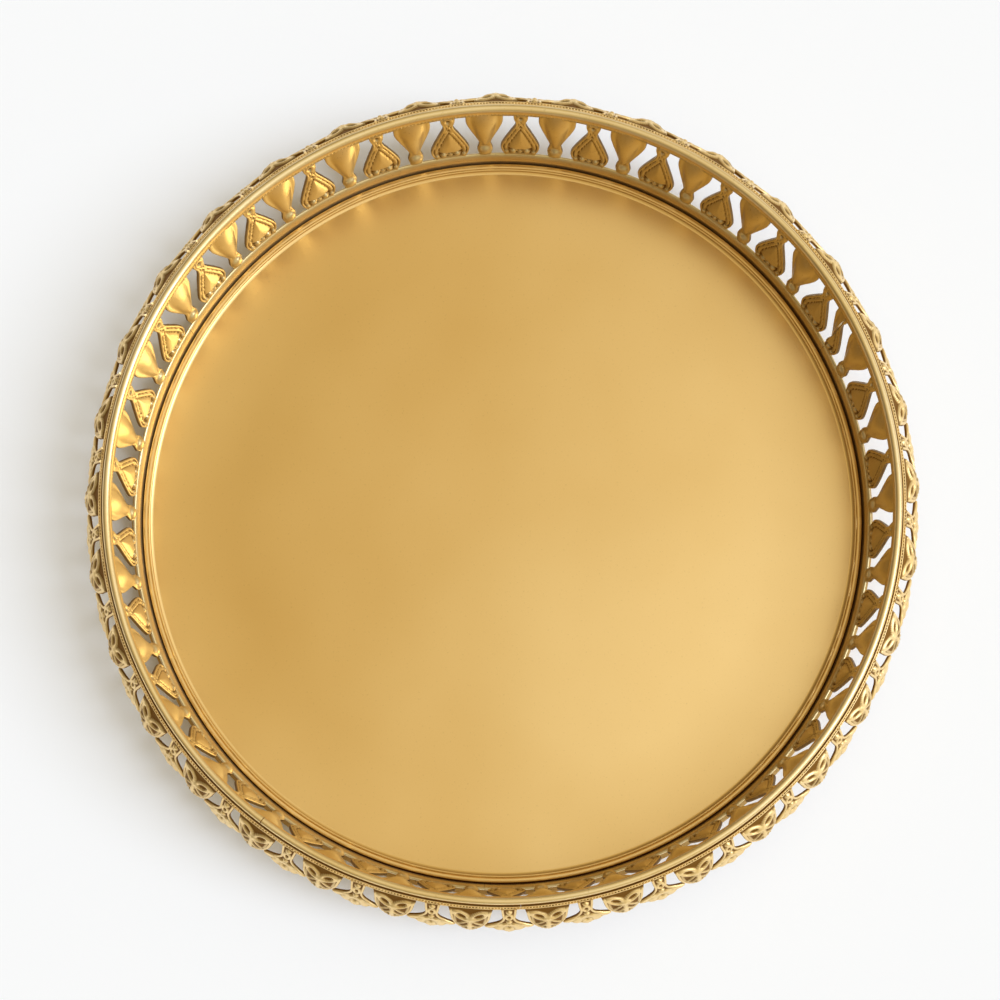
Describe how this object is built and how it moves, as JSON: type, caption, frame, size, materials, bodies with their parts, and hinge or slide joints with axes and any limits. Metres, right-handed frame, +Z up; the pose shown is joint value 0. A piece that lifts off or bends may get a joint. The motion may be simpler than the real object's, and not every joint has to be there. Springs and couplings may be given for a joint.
{
  "type": "candle plate",
  "caption": "Round gilt candle plate: a flat pressed plate inside a pierced upright gallery with a half-round rim and a lace apron hanging outside it.",
  "frame": {"origin": "on the table under the middle of the tray", "axes": "+Z up through the middle of the tray, +Y away from the viewer of the picture, +X to the right"},
  "size_m": [0.2552, 0.2554, 0.0305],
  "materials": {
    "plate": "satin gilt, pressed sheet",
    "base": "satin gilt, unpolished underside",
    "rim": "polished gilt",
    "gallery": "gilt casting with darker hollows",
    "apron": "pale gilt casting with darker hollows"
  },
  "bodies": {
    "root": {"plate": "plate", "base_ring": "base", "rim_ring": "rim", "gallery_length_1": "gallery", "apron_length_1": "apron", "gallery_length_2": "gallery", "apron_length_2": "apron", "gallery_length_3": "gallery", "apron_length_3": "apron"}
  },
  "joints": []
}
